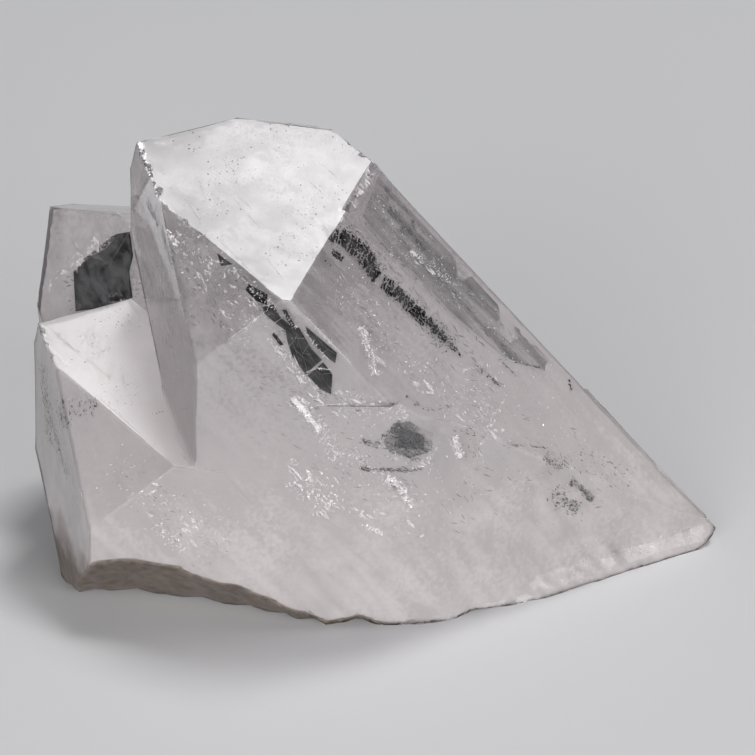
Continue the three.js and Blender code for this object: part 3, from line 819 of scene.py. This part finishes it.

# The bright cracks, with painted glints
# Small open cracks near the surface, as near-white flakes: partly white feathers, partly painted glints,
# slivers and feathery patches that stand for the light the cracks catch. Finer ones are strewn through
# the milk.

GLINT_DEPTH = 0.2  # mm below the surface
CRACK_THICK = 0.03  # mm, and of the veils below
GLINTS = [
    (FRONT, [(12.4, -9), (15, -8.8), (18.8, -9.3), (24.2, -10.3)], 2.6, 700, (0.28, 0.08)),
    (FRONT, [(13, -9), (18.8, -9.4)], 1, 260, (0.3, 0.14)),
    (FRONT, [(23.1, -9.3), (31.2, -7.8)], 4, 200, (0.3, 0.08)),
    (FRONT, [(31, -7.7), (32.4, -6.9), (37.2, -8.2)], 1.5, 420, (0.28, 0.12)),
    (FRONT, [(33.6, 2.4), (37, 0.8)], 1.5, 320, (0.28, 0.12)),
    (FRONT, [(29.2, 7.7), (31.7, 9.9), (37.2, 9.1), (37.9, 3.7)], 0.5, 160, (0.4, 0.06)),
    (FRONT, [(30, 6.5), (37, 6)], 6, 520, (0.34, 0.06)),
    (FRONT, [(17.2, -4.6), (25.2, 1.4)], 4.5, 320, (0.32, 0.06)),
    (FRONT, [(24.2, -4.8), (33.2, -3.8), (32.7, 0.2)], 1.4, 170, (0.34, 0.07)),
    (FRONT, [(3.2, -5.2), (15.2, -5.8)], 1.8, 200, (0.34, 0.06)),
    (FRONT, [(2.5, -2.6), (16, -4)], 3.4, 12, (1.5, 0.06)),
    (FRONT, [(10.5, -5.4), (11.2, -3.2), (12.6, -2)], 0.3, 50, (0.5, 0.06)),
    (FRONT, [(5.6, -0.9), (11.2, -1.2)], 0.25, 40, (0.5, 0.06)),
    (FRONT, [(22.2, -17), (29.7, -16.4)], 6, 260, (0.3, 0.12)),
    (FRONT, [(34.4, -15), (37.4, -13.7)], 1.3, 70, (0.3, 0.14)),
    (FRONT, [(21.2, -11.8), (43.2, -3.8)], 18, 420, (0.26, 0.1)),
    (FRONT, [(43.2, 0.2), (69.2, 8.2)], 16, 170, (0.22, 0.09)),
    (RIGHT, [(10.6, -22.8), (13.5, -24.2), (16.4, -26.6)], 2.4, 420, (0.3, 0.08)),
    (RIGHT, [(11.3, -6.1), (14, -5.9)], 0.9, 60, (0.4, 0.1)),
    (RIGHT, [(8.4, -9.1), (14.7, -5.2), (19.9, -4.7)], 2.4, 170, (0.3, 0.06)),
    (RIGHT, [(4, -20), (30, -20)], 10, 320, (0.3, 0.08)),
    (RIGHT, [(4, -18), (40, -18)], 12, 14, (1.2, 0.05)),
    (RIGHT, [(2, -5), (40, -5)], 8, 280, (0.26, 0.08)),
    (RIGHT, [(30, -12), (64, -7)], 10, 200, (0.24, 0.09)),
    (FRONT_TIP, [(3.9, -1.6), (6.7, -1.2)], 1.2, 90, (0.34, 0.1)),
    (FRONT_TIP, [(4, 0), (24, 2)], 12, 320, (0.3, 0.08)),
    (FRONT_TIP, [(13.6, 3.7), (17.9, 5.1), (22, 6.2), (26, 6.8)], 1.6, 180, (0.3, 0.07)),
    (LEFT_TIP, [(6, 4), (34, 6)], 14, 220, (0.3, 0.08)),
    (SHORT_FRONT, [(5.1, -8.6), (12.1, -7.6)], 4, 150, (0.3, 0.12)),
    (SHORT_FRONT, [(-4.9, -8.6), (15.1, -1.6)], 12, 260, (0.26, 0.1)),
    (SHORT_LEFT, [(8, 4), (26, 8)], 10, 160, (0.26, 0.09)),
    (BACK_TIP, [(3, -12), (10, -2)], 6, 40, (0.18, 0.05)),
    (BROKEN, [(30, 2.2), (54, 2.6)], 3, 420, (0.26, 0.1)),
    (BROKEN, [(18, 5), (40, 9)], 8, 160, (0.18, 0.05)),
    # White crumbs of wear along the rims of the top faces, in this row and the two below.
    (TALL_TOP, [(-10.4, -10), (-9.1, -12), (-6.9, -14.6), (-3.3, -18.8)], 1, 420, (0.26, 0.14)),
    (TALL_TOP, [(-3.3, -18.8), (4.8, -22.2)], 0.4, 90, (0.24, 0.1)),
    (SHORT_TOP, [(-9.1, -10.5), (-6.7, -13.4), (-2.3, -15.2)], 0.5, 120, (0.22, 0.1)),
]
bm = bmesh.new()
for face, route, width, amount, (length, breadth) in GLINTS:
    size = (length, breadth, CRACK_THICK)
    turned = chance.uniform(0, 3)
    strewn(bm, face, route, width, amount, size, GLINT_DEPTH, turned, scatter=0.9, tilt=0.4)
glints = piece("painted_glint_cracks", bm)
glint_paint, tree = empty_material("painted_glint_crack")
# Near-white and a little metallic, so the flakes show as painted glints under any lamp.
look = {"Base Color": (0.98, 0.96, 0.97, 1), "Roughness": 0.25, "Metallic": 0.35}
surfaced(tree, look)
glints.data.materials.append(glint_paint)

# The white veils
# Thin healed cracks under the bright ones, like feathers: white and streaky, and clear between the streaks.
# One of them pales a corner of the window at the back left.

VEIL_DEPTH = 0.26  # mm below the surface
VEILS = [
    (FRONT, [(12.6, -9), (18.8, -9.3), (24.2, -10.3)], 2.4, 22, (1.6, 0.6)),
    (FRONT, [(30.5, 7), (37, 6)], 6, 20, (1.8, 0.7)),
    (FRONT, [(33.4, 2.4), (37, 0.8)], 1, 14, (1, 0.7)),
    (FRONT, [(31, -7.5), (37, -8)], 1.2, 16, (1.1, 0.7)),
    (FRONT, [(17.2, -4.6), (25.2, 1.4)], 5, 20, (1.8, 0.5)),
    (FRONT, [(4, -5.4), (16, -6.4)], 2.4, 18, (1.4, 0.4)),
    (FRONT, [(20, -16), (34, -14)], 9, 22, (1.8, 0.6)),
    (RIGHT, [(10.4, -22.6), (17, -26.4)], 3, 20, (1.6, 0.5)),
    (RIGHT, [(10, -8.4), (21, -4.4)], 3.4, 18, (1.6, 0.5)),
    (RIGHT, [(20, -22), (40, -18)], 8, 28, (2, 0.5)),
    (RIGHT, [(0.2, -1.5), (-0.6, -11.5)], 1.6, 40, (1.2, 0.6)),
    (FRONT_TIP, [(4, -1.6), (13.2, 0.8)], 3.6, 22, (1.6, 0.5)),
    (FRONT_TIP, [(12, 1), (26, 3)], 6, 22, (1.7, 0.4)),
    (LEFT_TIP, [(10, 4), (30, 7)], 5, 18, (2, 0.5)),
    (BACK_TIP, [(1, -16), (2, -2)], 5, 22, (2, 0.6)),
    (SHORT_FRONT, [(0, -6), (12, -4)], 7, 30, (1.3, 0.5)),
    (FRONT, [(22, -17), (30, -16)], 6, 22, (1.4, 0.4)),
    (FRONT, [(34, -12), (46, -4)], 9, 20, (1.3, 0.4)),
    (SHORT_LEFT, [(12, 4), (26, 8)], 6, 18, (1.3, 0.5)),
]
# The paler patch of the window at the back left.
PALE = [(8.4, -11), (8, -9.5), (8.7, -6.7), (9.2, -4.7), (11.1, -6.2), (9.8, -8.7)]
bm = bmesh.new()
for face, route, width, amount, (length, breadth) in VEILS:
    size = (length, breadth, CRACK_THICK)
    strewn(bm, face, route, width, amount, size, VEIL_DEPTH, scatter=0.5, tilt=0.02)
pane(bm, BACK_TIP, PALE, VEIL_DEPTH)
veils = piece("white_veils", bm)
white, tree = empty_material("white_veil")
streaks = wandering(tree, drawn_out, 2400, -0.2, 0.45)
veiled = add(tree, "ShaderNodeClamp", {"Value": streaks})
look = {"Base Color": (0.97, 0.95, 0.96, 1), "Roughness": 0.6, "Alpha": veiled.outputs[0]}
surfaced(tree, look)
veils.data.materials.append(white)

# The floor, the lights and the camera
# A pale sheet to stand on, a softbox overhead that the top faces mirror, and two lower ones in front. The
# camera looks at the cluster from where the photo was taken.

floor_mesh = bpy.data.meshes.new("floor")
floor_mesh.from_pydata([(-3, -3, 0), (3, -3, 0), (3, 3, 0), (-3, 3, 0)], [], [(0, 1, 2, 3)])
floor = bpy.data.objects.new("floor", floor_mesh)
bpy.context.scene.collection.objects.link(floor)
pale, tree = empty_material("pale_floor")
look = {"Base Color": (0.72, 0.72, 0.73, 1), "Roughness": 0.7}
surfaced(tree, look)
floor_mesh.materials.append(pale)

world = bpy.data.worlds.new("studio")
world.use_nodes = True
world.node_tree.nodes["Background"].inputs["Color"].default_value = (0.12, 0.12, 0.125, 1)
bpy.context.scene.world = world

LOOKED_AT = Vector((0.06, -17.01, 37.5)) * MM  # the point of the cluster in the middle of the photo


def softbox(name, way, distance, width, height, power):
    """A rectangular lamp some way from the cluster, turned towards it."""
    lamp = bpy.data.lights.new(name, "AREA")
    lamp.shape = "RECTANGLE"
    lamp.size = width
    lamp.size_y = height
    lamp.energy = power
    box = bpy.data.objects.new(name, lamp)
    box.location = LOOKED_AT + Vector(way).normalized() * distance
    box.rotation_euler = (LOOKED_AT - box.location).to_track_quat("-Z", "Y").to_euler()
    bpy.context.scene.collection.objects.link(box)


softbox("softbox_above", (0.161, 0.293, 0.943), 0.9, 0.2, 0.2, 3.6)
softbox("softbox_front_left", (-0.4, -0.85, 0.34), 1.1, 0.8, 0.6, 6.0)
softbox("softbox_front_right", (0.6, -0.72, 0.34), 1.1, 0.8, 0.6, 4.5)

ELEVATION = math.radians(30)  # of the camera, seen from the cluster
DISTANCE = 0.6  # metres from there
camera = bpy.data.objects.new("camera", bpy.data.cameras.new("camera"))
camera.data.lens = 204.35
camera.data.sensor_width = 36
camera.location = LOOKED_AT + Vector((0, -math.cos(ELEVATION), math.sin(ELEVATION))) * DISTANCE
camera.rotation_euler = (math.pi / 2 - ELEVATION, 0, 0)
bpy.context.scene.collection.objects.link(camera)
bpy.context.scene.camera = camera
bpy.context.scene.view_settings.view_transform = "Standard"
